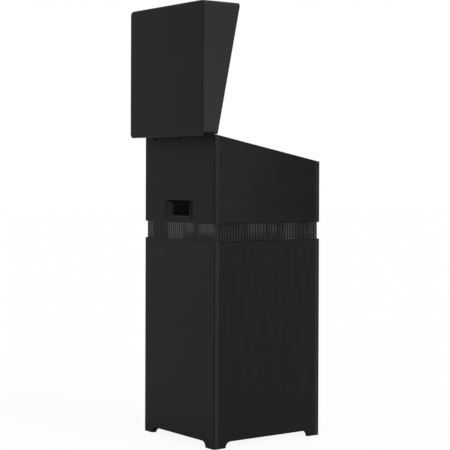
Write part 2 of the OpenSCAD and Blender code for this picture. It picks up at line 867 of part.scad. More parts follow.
// Wedge seen from the side: square to its taper at the hinge end. The cheeks' inner corners reach
// down beside the deck to its rim, which closes the view past the ends of the hinge.
module lid_wedge() {
    rim_u = lid_in_u - lid_in_v / tan(lid_tilt);
    translate([-lid_half_w - cut, 0, 0]) sideways(2 * lid_half_w + 2 * cut) polygon([
        [-lid_over - cut, -lid_drop - cut * tan(lid_tilt)], [lid_in_u, lid_in_v],
        [lid_far_u, lid_len + cut], [-lid_over - cut, lid_len + cut]
    ]);
    for (x = [-lid_half_w, lid_half_w - lid_wall]) translate([x, 0, 0]) sideways(lid_wall)
        polygon([[rim_u, 0], [lid_in_u, 0], [lid_in_u, 2 * lid_in_v], [rim_u, 2 * lid_in_v]]);
}

module lid_shell() {
    in_half = lid_half_w - lid_wall;
    hinge_board_v = 17;
    color(satin_black) at_hinge_edge() difference() {
        intersection() {
            lid_block();
            lid_wedge();
        }
        translate([0, -lid_over + lid_wall, (hinge_board_v + lid_len - lid_wall) / 2])
            upright(lid_far + cut) round_rect(2 * in_half, lid_len - lid_wall - hinge_board_v, lid_in_r);
        translate([-in_half, end_u, -lid_drop - cut])
            cube([2 * in_half, lid_far, hinge_board_v + lid_drop + 2 * lid_in_r]);
        translate([-in_half, far_end_u, lid_len / 2]) cube([2 * in_half, lid_far, lid_len / 2 + cut]);
    }
}

// Foam sheet glued inside the lid's outer face
module lid_lining() {
    color([0.12, 0.12, 0.12]) at_hinge_edge()
        translate([0, -lid_over + lid_wall, (lid_len + 5) / 2]) upright(lining_t)
            round_rect(2 * (lid_half_w - lid_wall) - 6, lid_len - 38, 10);
}

// Steel plates on the edge of the lid's far board, and the magnets that they meet
module catch_plates() {
    color(bare_steel) at_hinge_edge() for (s = [-1, 1])
        translate([s * catch_x - 20, far_end_u, lid_len - lid_wall + 1]) cube([40, plate_t, lid_wall - 4]);
}

module catch_magnets() {
    top = rim_back_z - shut_plate_drop - 1;
    color([0.1, 0.1, 0.1]) at_body() for (s = [-1, 1])
        translate([s * catch_x - 20, -in_y, top - 16]) cube([40, 13, 16]);
}

// Long bolts with washers that hold the deck, the band and the bass cabinet together
module stack_bolts() {
    low = bass_h - board_t;
    high = deck_z + board_t;
    color(bare_steel) at_body() bolt_places() {
        translate([0, 0, low - 8]) cylinder(h = high - low + 8, r = bolt_r);
        translate([0, 0, high]) cylinder(h = 2, r = 10);
        translate([0, 0, high + 2]) cylinder(h = 6, r = 7.5, $fn = 6);
        translate([0, 0, low - 2]) cylinder(h = 2, r = 10);
        translate([0, 0, low - 8]) cylinder(h = 6, r = 7.5, $fn = 6);
    }
}

// ---- controls ----

// Knob with a wide foot, a tapering grip, a pointer ridge and its spindle
module rotary_knob(x, y, shade) {
    lift = 1;
    color(shade) at_panel() translate([x, y, lift]) {
        cylinder(h = 3, r = knob_r);
        translate([0, 0, 3]) cylinder(h = knob_h - 3, r1 = knob_r - 2, r2 = knob_r - 3);
        translate([-0.8, 0, 0]) cube([1.6, knob_r - 1, knob_h + 0.5]);
        translate([0, 0, -14]) cylinder(h = 14, r = stem_r);
    }
}

module gain_knob(n) {
    rotary_knob(strip(n), gain_y, [0.3, 0.3, 0.32]);
}

module tone_knob(n) {
    rotary_knob(strip(n), tone_y, [0.45, 0.45, 0.47]);
}

module mute_button(n) {
    low = pcb_z + 6 + mute_travel + gap;
    color([0.75, 0.2, 0.15]) at_panel() translate([strip(n), mute_y, low])
        translate([-mute_w / 2, -mute_w / 2, 0]) cube([mute_w, mute_w, 5 - low]);
}

// Fader cap, hollowed across its back for a fingertip, on the blade that enters the slot
module fader(n) {
    lift = 1.5;
    high = 11;
    color([0.35, 0.35, 0.37]) at_panel() translate([strip(n), fader_y, lift]) {
        difference() {
            translate([-fader_cap_w / 2, -fader_cap_l / 2, 0]) cube([fader_cap_w, fader_cap_l, high]);
            translate([-fader_cap_w, 0, high + 9]) rotate([0, 90, 0]) cylinder(h = 2 * fader_cap_w, r = 12);
        }
        translate([-fader_stem_w / 2, -fader_stem_l / 2, -14]) cube([fader_stem_w, fader_stem_l, 15]);
    }
}

module level_fader(n) {
    fader(n);
}

module master_fader() {
    fader(strips + 1);
}

// Rocker with a cylindrical back and two short pivots, stored tilted to its off side
module power_rocker() {
    wide = rocker_w - gap;
    color([0.15, 0.15, 0.15]) at_panel() translate([rocker_x, rocker_y, -6]) rotate([rocker_tilt, 0, 0]) {
        intersection() {
            translate([-wide / 2, -rocker_l / 2 + rocker_play, -4])
                cube([wide, rocker_l - 2 * rocker_play, rocker_r + 4]);
            rotate([0, 90, 0]) cylinder(h = wide + cut, r = rocker_r, center = true);
            for (a = [0, 180]) rotate([0, 0, a]) rotate([10, 0, 0])
                translate([-wide, -2, -rocker_l]) cube([2 * wide, rocker_l, rocker_l + 9]);
        }
        rotate([0, 90, 0]) cylinder(h = rocker_w + 2.6, r = 1.5, center = true);
    }
}

bass_left_side();
bass_right_side();
bass_back_board();
bass_front_frame();
bass_bottom_board();
bass_top_board();
driver_baffle();
front_grille();
woofer_basket();
woofer_motor();
woofer_cone();
column_driver(1);  // column_driver_1
column_driver(2);  // column_driver_2
column_driver(3);  // column_driver_3
column_driver(4);  // column_driver_4
port_tubes();
crossover_board();
band_spacer();
band_slats_front();
band_slats_back();
band_slats_left();
band_slats_right();
deck_left_side();
deck_right_side();
deck_back_board();
deck_front_board();
deck_bottom_board();
cable_port_frame();
control_panel();
panel_cleats();
mixer_board();
input_sockets();
power_switch_frame();
amplifier_tray();
heat_sink();
transformer();
connector_bracket();
mains_inlet();
deck_hinge_leaf();
hinge_pin();
catch_magnets();
stack_bolts();
lid_shell();
lid_lining();
lid_hinge_leaf();
catch_plates();
gain_knob(1);  // gain_knob_1
gain_knob(2);  // gain_knob_2
gain_knob(3);  // gain_knob_3
tone_knob(1);  // tone_knob_1
tone_knob(2);  // tone_knob_2
tone_knob(3);  // tone_knob_3
mute_button(1);  // mute_button_1
mute_button(2);  // mute_button_2
mute_button(3);  // mute_button_3
level_fader(1);  // level_fader_1
level_fader(2);  // level_fader_2
level_fader(3);  // level_fader_3
master_fader();
power_rocker();
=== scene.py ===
import math

import bmesh
import bpy
from mathutils import Matrix, Vector


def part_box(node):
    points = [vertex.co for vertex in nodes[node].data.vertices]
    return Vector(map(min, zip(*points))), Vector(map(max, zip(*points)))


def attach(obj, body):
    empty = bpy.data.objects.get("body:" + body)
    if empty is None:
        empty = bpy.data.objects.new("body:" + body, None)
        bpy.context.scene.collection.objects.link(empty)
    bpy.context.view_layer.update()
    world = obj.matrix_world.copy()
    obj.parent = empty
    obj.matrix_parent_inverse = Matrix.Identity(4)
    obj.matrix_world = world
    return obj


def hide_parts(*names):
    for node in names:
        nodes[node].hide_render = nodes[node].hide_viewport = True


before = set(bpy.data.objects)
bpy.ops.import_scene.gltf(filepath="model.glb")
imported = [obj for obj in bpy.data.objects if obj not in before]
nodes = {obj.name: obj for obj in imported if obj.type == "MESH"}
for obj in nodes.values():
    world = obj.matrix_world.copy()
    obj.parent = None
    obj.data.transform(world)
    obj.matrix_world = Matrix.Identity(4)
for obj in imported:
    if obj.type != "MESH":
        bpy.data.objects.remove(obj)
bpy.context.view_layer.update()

# ---- Camera, floor and light ----
# The console stands on a plain pale floor in soft studio light. The camera is a long lens, held a
# little above the console's middle, that looks at the rear corner beside the darker boards.

camera_place = Vector((-4.0802, 3.0009, 0.9824))
camera_turn = math.radians(53.6794)
camera_pitch = math.radians(0.5628)
camera_roll = math.radians(0.2019)
focal_px = 1346.4
horizon_px = 185.95
picture_px = 450
sensor = 36.0

away = Vector((math.sin(camera_turn), -math.cos(camera_turn), 0))
across = Vector((-math.cos(camera_turn), -math.sin(camera_turn), 0))
level_up = Vector((0, 0, 1))
ahead = math.cos(camera_pitch) * away - math.sin(camera_pitch) * level_up
upright = math.cos(camera_pitch) * level_up + math.sin(camera_pitch) * away
right = math.cos(camera_roll) * across + math.sin(camera_roll) * upright
top = math.cos(camera_roll) * upright - math.sin(camera_roll) * across

camera_data = bpy.data.cameras.new("studio_camera")
camera_data.sensor_width = sensor
camera_data.lens = sensor * focal_px / picture_px
camera_data.shift_y = (horizon_px - picture_px / 2) / picture_px
camera_data.dof.use_dof = False
camera = bpy.data.objects.new("studio_camera", camera_data)
bpy.context.scene.collection.objects.link(camera)
camera.matrix_world = Matrix((
    (right.x, top.x, -ahead.x, camera_place.x),
    (right.y, top.y, -ahead.y, camera_place.y),
    (right.z, top.z, -ahead.z, camera_place.z),
    (0, 0, 0, 1)
))
bpy.context.scene.camera = camera
bpy.context.scene.view_settings.view_transform = "Standard"


class Signal:
    """A node's output, which adds Math nodes when it stands in an expression."""

    def __init__(self, finish, socket):
        self.finish = finish
        self.socket = socket

    def __getitem__(self, name):
        return Signal(self.finish, self.socket.node.outputs[name])

    def math(self, operation, *values):
        inputs = dict(enumerate(values))
        return self.finish.node("ShaderNodeMath", {"operation": operation}, inputs)

    def __add__(self, other):
        return self.math("ADD", self, other)

    def __radd__(self, other):
        return self.math("ADD", other, self)

    def __sub__(self, other):
        return self.math("SUBTRACT", self, other)

    def __rsub__(self, other):
        return self.math("SUBTRACT", other, self)

    def __mul__(self, other):
        return self.math("MULTIPLY", self, other)

    def __rmul__(self, other):
        return self.math("MULTIPLY", other, self)

    def __truediv__(self, other):
        return self.math("DIVIDE", self, other)

    def __pow__(self, other):
        return self.math("POWER", self, other)

    def size(self):
        return self.math("ABSOLUTE", self)

    def ramp(self, low, high):
        """0 at low and 1 at high, with a soft start and end."""
        settings = {"interpolation_type": "SMOOTHSTEP"}
        inputs = {"Value": self, "From Min": low, "From Max": high, "To Min": 0.0, "To Max": 1.0}
        return self.finish.node("ShaderNodeMapRange", settings, inputs)


class Finish:
    """A material while its nodes are added. Constants go straight on the shader's sockets."""

    def __init__(self, name, colour, roughness, specular=0.5, metallic=0.0):
        self.material = bpy.data.materials.new(name)
        self.material.use_nodes = True
        self.tree = self.material.node_tree
        self.shader = self.tree.nodes["Principled BSDF"]
        self.colour = colour
        self.material.diffuse_color = (*colour, 1)
        self.shader.inputs["Base Color"].default_value = (*colour, 1)
        self.shader.inputs["Roughness"].default_value = roughness
        self.shader.inputs["Specular IOR Level"].default_value = specular
        self.shader.inputs["Metallic"].default_value = metallic

    def node(self, kind, settings=None, inputs=None):
        made = self.tree.nodes.new(kind)
        for name, value in (settings or {}).items():
            setattr(made, name, value)
        for name, value in (inputs or {}).items():
            self.join(made.inputs[name], value)
        return Signal(self, next(o for o in made.outputs if o.enabled))

    def join(self, socket, value):
        if isinstance(value, Signal):
            self.tree.links.new(value.socket, socket)
        elif socket.type == "RGBA" and len(value) == 3:
            socket.default_value = (*value, 1)
        else:
            socket.default_value = value

    def place(self, stretch=(1, 1, 1)):
        """Object coordinates in metres, stretched along each axis."""
        where = self.node("ShaderNodeTexCoord")["Object"]
        return self.node("ShaderNodeMapping", {}, {"Vector": where, "Scale": stretch})

    def axes(self):
        parts = self.node("ShaderNodeSeparateXYZ", {}, {"Vector": self.place()})
        return parts["X"], parts["Y"], parts["Z"]

    def noise(self, scale, detail=3.0, stretch=(1, 1, 1), twist=0.0):
        inputs = {"Vector": self.place(stretch), "Scale": scale, "Detail": detail, "Distortion": twist}
        return self.node("ShaderNodeTexNoise", {}, inputs)

    def blend(self, factor, low, high):
        """Mixes two colours."""
        made = self.tree.nodes.new("ShaderNodeMix")
        made.data_type = "RGBA"
        self.join(made.inputs[0], factor)
        self.join(made.inputs[6], low)
        self.join(made.inputs[7], high)
        return Signal(self, made.outputs[2])

    def shade(self, factor):
        """The finish's own colour, made lighter or darker by a factor about 1."""
        channels = {"Red": factor, "Green": factor, "Blue": factor}
        inputs = {0: self.node("ShaderNodeCombineColor", {}, channels), 1: self.colour}
        return self.node("ShaderNodeVectorMath", {"operation": "MULTIPLY"}, inputs)

    def set(self, name, value):
        self.join(self.shader.inputs[name], value)

    def bump(self, height, distance, strength=1.0):
        inputs = {"Height": height, "Distance": distance, "Strength": strength}
        self.set("Normal", self.node("ShaderNodeBump", {}, inputs))


floor_size = 60
floor_glow_share = 0.92
floor_finish = Finish("studio_floor", (0.85, 0.85, 0.85), 0.9, specular=0.0)
floor_finish.set("Base Color", floor_finish.shade(0.995 + 0.01 * floor_finish.noise(2.0)))
floor_glow = floor_finish.node("ShaderNodeEmission", {}, {"Color": (1, 1, 1), "Strength": 1.0})
floor_seen = floor_finish.node("ShaderNodeLightPath")["Is Camera Ray"]
floor_mix = floor_finish.node(
    "ShaderNodeMixShader", {}, {0: floor_glow_share * floor_seen, 2: floor_glow}
)
floor_shader = Signal(floor_finish, floor_finish.shader.outputs[0])
floor_finish.join(floor_mix.socket.node.inputs[1], floor_shader)
floor_finish.join(floor_finish.tree.nodes["Material Output"].inputs["Surface"], floor_mix)
shape = bmesh.new()
bmesh.ops.create_grid(shape, x_segments=1, y_segments=1, size=floor_size / 2)
floor_mesh = bpy.data.meshes.new("studio_floor")
shape.to_mesh(floor_mesh)
shape.free()
floor_mesh.materials.append(floor_finish.material)
floor = bpy.data.objects.new("studio_floor", floor_mesh)
bpy.context.scene.collection.objects.link(floor)

world = bpy.data.worlds.new("studio_world")
world.use_nodes = True
bpy.context.scene.world = world
sky = world.node_tree
backdrop = sky.nodes["Background"]
backdrop.inputs["Color"].default_value = (1, 1, 1, 1)
room_light = 0.45
path = sky.nodes.new("ShaderNodeLightPath")
seen = sky.nodes.new("ShaderNodeMath")
seen.operation = "MAXIMUM"
seen_more = sky.nodes.new("ShaderNodeMath")
seen_more.operation = "MAXIMUM"
level = sky.nodes.new("ShaderNodeMapRange")
level.inputs["To Min"].default_value = room_light
level.inputs["To Max"].default_value = 1.0
sky.links.new(path.outputs["Is Camera Ray"], seen.inputs[0])
sky.links.new(path.outputs["Is Glossy Ray"], seen.inputs[1])
sky.links.new(seen.outputs[0], seen_more.inputs[0])
sky.links.new(path.outputs["Is Transmission Ray"], seen_more.inputs[1])
sky.links.new(seen_more.outputs[0], level.inputs["Value"])
sky.links.new(level.outputs["Result"], backdrop.inputs["Strength"])


def lamp(name, towards, strength, spread):
    """A large soft lamp that shines from the direction given."""
    data = bpy.data.lights.new(name, "SUN")
    data.energy = strength
    data.angle = math.radians(spread)
    made = bpy.data.objects.new(name, data)
    made.rotation_euler = Vector(towards).to_track_quat("Z", "Y").to_euler()
    bpy.context.scene.collection.objects.link(made)


lamp("side_softbox", (-0.9, -0.3, 0.35), 2.9, 40)
lamp("overhead_softbox", (0.0, 0.0, 1.0), 1.0, 60)

# ---- Front and back boards ----
# Four boards, 20 mm thick, close the ends of the bass cabinet and of the deck and cover the ends of
# the side boards. They are sprayed with black satin lacquer, and their edges are rounded by hand.


def copy_node(name):
    """A merged copy of a CAD node's mesh, with its flat triangles paired."""
    made = bmesh.new()
    made.from_mesh(nodes[name].data)
    bmesh.ops.remove_doubles(made, verts=made.verts, dist=1e-6)
    bmesh.ops.join_triangles(
        made, faces=made.faces, angle_face_threshold=math.radians(0.5), angle_shape_threshold=math.pi
    )
    return made


def rounded(name, width, segments=2, least=30):
    """A copy of a CAD node's mesh, with every edge sharper than an angle rounded."""
    made = copy_node(name)
    limit = math.radians(least)
    sharp = [e for e in made.edges if len(e.link_faces) == 2 and e.calc_face_angle(0) > limit]
    bmesh.ops.bevel(
        made, geom=sharp, offset=width, offset_type="OFFSET", segments=segments, profile=0.5,
        affect="EDGES", clamp_overlap=True, material=-1
    )
    return made


def add_piece(name, made, finish, body, replaced=(), smooth=50):
    """Turns a finished bmesh into a piece that rides on a body."""
    mesh = bpy.data.meshes.new(name)
    made.to_mesh(mesh)
    made.free()
    mesh.materials.append(finish.material)
    mesh.shade_smooth()
    mesh.set_sharp_from_angle(angle=math.radians(smooth))
    piece = bpy.data.objects.new(name, mesh)
    bpy.context.scene.collection.objects.link(piece)
    even = piece.modifiers.new("even_shading", "WEIGHTED_NORMAL")
    even.weight = 100
    even.keep_sharp = True
    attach(piece, body)
    if replaced:
        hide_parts(*replaced)
    return piece


def dress(finish, *names):
    """Gives CAD nodes that stay as they are a finish."""
    for name in names:
        mesh = nodes[name].data
        mesh.materials.clear()
        mesh.materials.append(finish.material)


lacquer = Finish("satin_lacquer", (0.0165, 0.0165, 0.0166), 0.42, specular=0.05)
board_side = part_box("deck_back_board")[1].x
board_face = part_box("deck_back_board")[1].y
bass_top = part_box("bass_back_board")[1].z
deck_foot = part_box("deck_back_board")[0].z
face_depth = 0.0035
corner_width = 0.0035
edge_width = 0.001
shade_low = 1.035
shade_high = 1.095
deck_darker = 0.16
edge_painted_shade = 0.2
shade_darker = 0.34
corner_shade_darker = 0.6
along_x, along_y, along_z = lacquer.axes()
# Painted shade: a strip under the lid, a line at the upright corners and the side edges are darker.
at_back = along_y.ramp(board_face - face_depth, board_face - face_depth + 0.001)
corner = at_back * along_x.size().ramp(board_side - corner_width, board_side - 0.0022)
edge = along_x.size().ramp(board_side - edge_width, board_side - 0.0004)
lid_shade_strip = at_back * along_z.ramp(shade_low, shade_high) * (1.0 - edge)
on_deck = along_z.ramp(bass_top + 0.003, deck_foot + 0.001)
tone = (1.0 - deck_darker * on_deck) * (1.0 - edge_painted_shade * edge)
tone = tone * (1.0 - shade_darker * lid_shade_strip) * (1.0 - corner_shade_darker * corner)
lacquer.set("Base Color", lacquer.shade((0.85 + 0.3 * lacquer.noise(3.0, 2.0)) * tone))
lacquer.set("Roughness", 0.36 + 0.12 * lacquer.noise(12.0, 4.0))
lacquer.bump(lacquer.noise(900.0, 2.0), 0.00005, 0.5)

for board in ("bass_back_board", "bass_front_frame", "deck_back_board", "deck_front_board"):
    add_piece(board + "_lacquered", rounded(board, 0.001), lacquer, "cabinet", [board])

# ---- Side boards ----
# Two pairs of 15 mm boards between the front and back boards, faced with black-stained veneer. Its
# figure runs upright on the bass cabinet and level on the deck. Inside, the board is sealed pale.

band_low, band_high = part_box("band_spacer")
side_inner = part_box("bass_right_side")[0].x
stain_black = (0.0085, 0.0085, 0.0086)
sealer = (0.7, 0.7, 0.69)
sealed_top = 0.94
front_y = -0.27
back_y = 0.2
band_shade_darker = 0.4


def veneer(name, along, near_tone, far_tone):
    """Veneer with its figure along an axis, with painted shade in its tone from near the back to the
    front and beside the band.
    """
    finish = Finish(name, stain_black, 0.5, specular=0.05)
    stretch = (6, 1, 6) if along == "Y" else (6, 6, 1)
    figure = finish.noise(7.0, 4.0, stretch, 0.6)
    pores = finish.noise(60.0, 3.0, stretch)
    x, y, z = finish.axes()
    # Painted shade: the tone falls towards the deck's front, and strips beside the band are darker.
    tone = far_tone + (near_tone - far_tone) * y.ramp(front_y, back_y)
    over_bass = z.ramp(band_low.z - 0.007, band_low.z - 0.004)
    under_deck = 1.0 - z.ramp(band_high.z + 0.004, band_high.z + 0.006)
    tone = tone * (1.0 - band_shade_darker * over_bass * under_deck)
    stained = finish.shade((0.55 + 0.75 * figure + 0.15 * pores) * tone)
    is_inner = 1.0 - x.size().ramp(side_inner + 0.0005, side_inner + 0.0015)
    is_sealed = is_inner * (1.0 - z.ramp(sealed_top, sealed_top + 0.01))
    finish.set("Base Color", finish.blend(is_sealed, stained, sealer))
    finish.set("Roughness", 0.42 + 0.16 * pores)
    finish.bump(pores, 0.0002, 0.4)
    return finish


bass_veneer = veneer("upright_veneer", "Z", 0.685, 0.7)
deck_veneer = veneer("level_veneer", "Y", 0.885, 0.35)
for cabinet, finish in (("bass", bass_veneer), ("deck", deck_veneer)):
    for side in ("left", "right"):
        board = cabinet + "_" + side + "_side"
        made = rounded(board, 0.0008)
        add_piece(board + "_veneered", made, finish, "cabinet", [board])

# ---- Inner boards ----
# The bottom and top boards, the baffle and the cleats are plain board with matt black paint. They
# are screwed and glued between the side boards.

paint = Finish("matt_black_paint", (0.012, 0.012, 0.012), 0.75, specular=0.2)
paint.set("Base Color", paint.shade(0.8 + 0.4 * paint.noise(25.0)))
paint.bump(paint.noise(500.0), 0.0001, 0.5)
dress(paint, "bass_bottom_board", "bass_top_board", "deck_bottom_board", "panel_cleats")
made = rounded("driver_baffle", 0.0005)
add_piece("baffle_painted", made, paint, "cabinet", ["driver_baffle"])

# ---- Vent band ----
# Between the cabinets a frame of stained boards, set back on all sides, carries runs of upright
# steel slats with a powder coat. Painted steel gauze keeps dust out of the frame's air slots.

stain = Finish("stained_frame", (0.14, 0.141, 0.128), 0.6, specular=0.05)
stain.set("Base Color", stain.shade(0.8 + 0.4 * stain.noise(20.0)))
dress(stain, "band_spacer")

gauze = Finish("painted_gauze", (0.105, 0.106, 0.096), 0.6, specular=0.05)
weave = {"Vector": gauze.place(), "Scale": 700.0, "Mortar Size": 0.2}
wires = gauze.node("ShaderNodeTexBrick", {"offset": 0.5}, weave)["Fac"]
gauze.set("Base Color", gauze.shade(0.6 + 0.5 * wires))
gauze.bump(wires, 0.0002, 0.6)
gauze_t = 0.001
gauze_sunk = 0.001
slot_end = 0.04
slot_height = (band_high.z - band_low.z) / 3
band_middle = (band_low.z + band_high.z) / 2
band_y = (band_low.y + band_high.y) / 2
reach_x = band_high.x
reach_y = band_high.y - band_y


def add_block(made, middle, size):
    """A block with its edges along the axes."""
    place = Matrix.Translation(middle) @ Matrix.Diagonal((*size, 1))
    bmesh.ops.create_cube(made, size=1.0, matrix=place)


made = bmesh.new()
for side in (-1, 1):
    length = reach_x - slot_end
    middle = (side * length / 2, band_y + side * (reach_y - gauze_sunk), band_middle)
    add_block(made, middle, (length, gauze_t, slot_height))
    length = reach_y - slot_end
    middle = (-side * (reach_x - gauze_sunk), band_y + side * length / 2, band_middle)
    add_block(made, middle, (gauze_t, length, slot_height))
add_piece("slot_gauze", made, gauze, "cabinet")

slat_coat = Finish("slat_coat", (0.014, 0.0142, 0.0129), 0.5, specular=0.06)
along_x, along_y, along_z = slat_coat.axes()
slats_low, slats_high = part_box("band_slats_back")
corner_post = 0.004
row_end = slats_high.x - corner_post
highlight_edge = 0.012
side_tone = 0.88
back_painted_light = 1.9
highlight_lighter = 1.3


def patches(along, places):
    """1 between each pair of places, where the slats have painted highlights, with soft ends."""
    found = 0.0
    for low, high in places:
        starts = along.ramp(low - highlight_edge, low + highlight_edge)
        found = found + starts * (1.0 - along.ramp(high - highlight_edge, high + highlight_edge))
    return found


back_patches = ((-0.02, 0.08), (0.18, 0.24))
back_upper_patches = ((-0.085, -0.03), (-0.22, -0.12))
side_patches = ((-0.16, -0.11), (-0.28, -0.23))
side_upper_patches = ((-0.07, -0.047), (-0.02, 0.058))
# Painted light: the back run is lighter, and the patches are painted highlights of the studio light.
upper = along_z.ramp(band_middle - 0.014, band_middle + 0.01)
back_highlights = patches(along_x, back_patches) + upper * patches(along_x, back_upper_patches)
side_highlights = patches(along_y, side_patches) + upper * patches(along_y, side_upper_patches)
beside_post = 1.0 - along_x.size().ramp(row_end, row_end + 0.001)
on_back = along_y.ramp(slats_low.y, slats_low.y + 0.001) * beside_post
painted_highlights = on_back * back_highlights + (1.0 - on_back) * side_highlights
tone = (side_tone + back_painted_light * on_back) * (1.0 + highlight_lighter * painted_highlights)
slat_coat.set("Base Color", slat_coat.shade(tone * (0.85 + 0.3 * slat_coat.noise(200.0))))
slat_coat.bump(slat_coat.noise(1500.0, 2.0), 0.0001, 0.5)
for side in ("front", "back", "left", "right"):
    made = rounded("band_slats_" + side, 0.0006, 1)
    add_piece("slats_" + side, made, slat_coat, "cabinet", ["band_slats_" + side])

# ---- Long bolts ----
# Four bolts with washers and nuts clamp the bass cabinet's top board, the band's frame and the
# deck's bottom board together. They are zinc-plated steel, like the other hidden metal.

zinc = Finish("zinc_plate", (0.42, 0.42, 0.44), 0.38, metallic=1.0)
zinc.set("Base Color", zinc.shade(0.85 + 0.3 * zinc.noise(40.0)))
zinc.set("Roughness", 0.3 + 0.2 * zinc.noise(150.0))
dress(zinc, "stack_bolts")

# ---- Cable port ----
# A moulded frame let into the deck's back board, with four slanting faces that lead to a straight
# throat. Behind it a zinc-plated bracket carries the mains inlet.

port_middle = 0.847
port_half_width = 0.0525
port_half_height = 0.022
slant_width = 0.033
slant_height = 0.0115
seam_blur = 0.03
lip_blur = 0.02
upper_painted_shade = 0.8
side_painted_shade = 0.32
lower_painted_light = 0.58


def moulded(name, colour, specular):
    """Black plastic from a mould with a fine grain."""
    finish = Finish(name, (colour, colour, colour), 0.5, specular)
    finish.set("Roughness", 0.45 + 0.15 * finish.noise(80.0))
    finish.bump(finish.noise(1200.0, 2.0), 0.00006, 0.5)
    return finish


def slant(past, beside):
    """1 on one slanting face of the port, where it is past the opening's edge by more than beside."""
    outside = past.ramp(0.0, lip_blur)
    inside = 1.0 - past.ramp(1.0 - lip_blur, 1.0 + lip_blur)
    return (past - beside).ramp(-seam_blur, seam_blur) * outside * inside


moulding = moulded("black_moulding", 0.006, 0.12)
port_moulding = moulded("port_moulding", 0.025, 0.0)
x, y, z = port_moulding.axes()
out = (x.size() - port_half_width) / slant_width
rise = (z - port_middle - port_half_height) / slant_height
fall = (port_middle - port_half_height - z) / slant_height
reach = (-1.0 * x - port_half_width) / slant_width
drop = ((z - port_middle).size() - port_half_height) / slant_height
# Painted light and shade: upper and -X slanting faces darker, lower one and the whole moulding lighter.
tone = (1.0 - upper_painted_shade * slant(rise, out)) * (1.0 - side_painted_shade * slant(reach, drop))
tone = tone * (1.0 + lower_painted_light * slant(fall, out))
port_moulding.set("Base Color", port_moulding.shade(tone))
made = rounded("cable_port_frame", 0.0006)
add_piece("port_frame", made, port_moulding, "cabinet", ["cable_port_frame"])
made = rounded("mains_inlet", 0.0006)
add_piece("inlet_moulding", made, moulding, "cabinet", ["mains_inlet"])
dress(zinc, "connector_bracket")

# ---- Lid ----
# A wedge-shaped lid of moulded board, 12 mm thick, with rounded corners and a soft outer edge. It
# is sprayed inside and out with the boards' satin lacquer.

lid_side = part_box("lid_shell")[1].x
lid_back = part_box("lid_shell")[1].y
foot_top = 1.1258
foot_side = 0.2222
cheek_low = 1.15
cheek_high = 1.55
cheek_painted_light = 0.06
cheek_shade_fall = 0.28
outer_painted_shade = 0.1
under_painted_shade = 0.85
lid_lacquer = Finish("lid_lacquer", (0.015, 0.015, 0.0151), 0.42, specular=0.05)
along_x, along_y, along_z = lid_lacquer.axes()
cheek = along_x.size().ramp(lid_side - 0.0013, lid_side - 0.0003)
outer = along_y.ramp(lid_back - 0.0013, lid_back - 0.0001)
below = 1.0 - along_z.ramp(foot_top, foot_top + 0.001)
inward = 1.0 - along_y.ramp(lid_back - 0.0068, lid_back - 0.0048)
under = below * inward * along_x.size().ramp(foot_side, foot_side + 0.001)
# Painted light and shade: cheeks lighter low and darker high, outer face darker, rounded foot dark.
tone = 1.0 + cheek * (cheek_painted_light - cheek_shade_fall * along_z.ramp(cheek_low, cheek_high))
tone = tone * (1.0 - outer_painted_shade * outer) * (1.0 - under_painted_shade * under)
lid_lacquer.set("Base Color", lid_lacquer.shade((0.85 + 0.3 * lid_lacquer.noise(3.0, 2.0)) * tone))
lid_lacquer.set("Roughness", 0.36 + 0.12 * lid_lacquer.noise(12.0, 4.0))
lid_lacquer.bump(lid_lacquer.noise(900.0, 2.0), 0.00005, 0.5)
made = rounded("lid_shell", 0.0008, 2, 50)
add_piece("lid_lacquered", made, lid_lacquer, "lid", ["lid_shell"])

# ---- Lid lining ----
# A sheet of open-cell foam, 8 mm thick, glued inside the lid over the controls. Its corners are cut
# round and its face edge is pressed soft.

foam = Finish("open_cell_foam", (0.022, 0.022, 0.024), 0.95, specular=0.05)
pores = {"Vector": foam.place(), "Scale": 700.0}
cells = foam.node("ShaderNodeTexVoronoi", {"feature": "SMOOTH_F1"}, pores)["Distance"]
foam.set("Base Color", foam.shade(0.45 + 0.9 * cells))
foam.bump(cells, 0.0006, 1.0)
corner_cut = 0.01
pressed_edge = 0.0025
lining_low, lining_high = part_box("lid_lining")
made = bmesh.new()
bmesh.ops.create_cube(made, size=1.0)
bmesh.ops.scale(made, vec=lining_high - lining_low, verts=made.verts)
bmesh.ops.translate(made, vec=(lining_high + lining_low) / 2, verts=made.verts)
through = [e for e in made.edges if abs((e.verts[0].co - e.verts[1].co).normalized().y) > 0.9]
bmesh.ops.bevel(
    made, geom=through, offset=corner_cut, segments=6, profile=0.5, affect="EDGES", material=-1
)
face = [e for e in made.edges if all(v.co.y < lining_low.y + 0.0001 for v in e.verts)]
bmesh.ops.bevel(
    made, geom=face, offset=pressed_edge, segments=4, profile=0.5, affect="EDGES", material=-1
)
lining = add_piece("lining_foam", made, foam, "lid", ["lid_lining"], smooth=60)

# ---- Lid hinge ----
# A pin hinge nearly as long as the cabinet is wide, rolled from 1.5 mm steel and blackened. Screws
# with low round heads hold it to the deck, and lugs on the lid's leaf stop the lid upright.

blackened = Finish("blackened_steel", (0.009, 0.009, 0.0092), 0.42, specular=0.05)
blackened.set("Base Color", blackened.shade(0.75 + 0.5 * blackened.noise(90.0)))
blackened.set("Roughness", 0.36 + 0.14 * blackened.noise(220.0))
for name, body in (("deck_hinge_leaf", "cabinet"), ("lid_hinge_leaf", "lid"), ("hinge_pin", "cabinet")):
    made = rounded(name, 0.0002, 1, 40)
    add_piece(name + "_blackened", made, blackened, body, [name])


def spin_profile(made, points, steps):
    """Turns a profile of radius and height about the Z axis."""
    verts = [made.verts.new((r, 0, z)) for r, z in points]
    edges = [made.edges.new(pair) for pair in zip(verts, verts[1:])]
    bmesh.ops.spin(
        made, geom=verts + edges, cent=(0, 0, 0), axis=(0, 0, 1), dvec=(0, 0, 0), angle=math.tau,
        steps=steps, use_merge=True, use_duplicate=False
    )
    bmesh.ops.remove_doubles(made, verts=made.verts, dist=1e-6)
    bmesh.ops.recalc_face_normals(made, faces=made.faces)


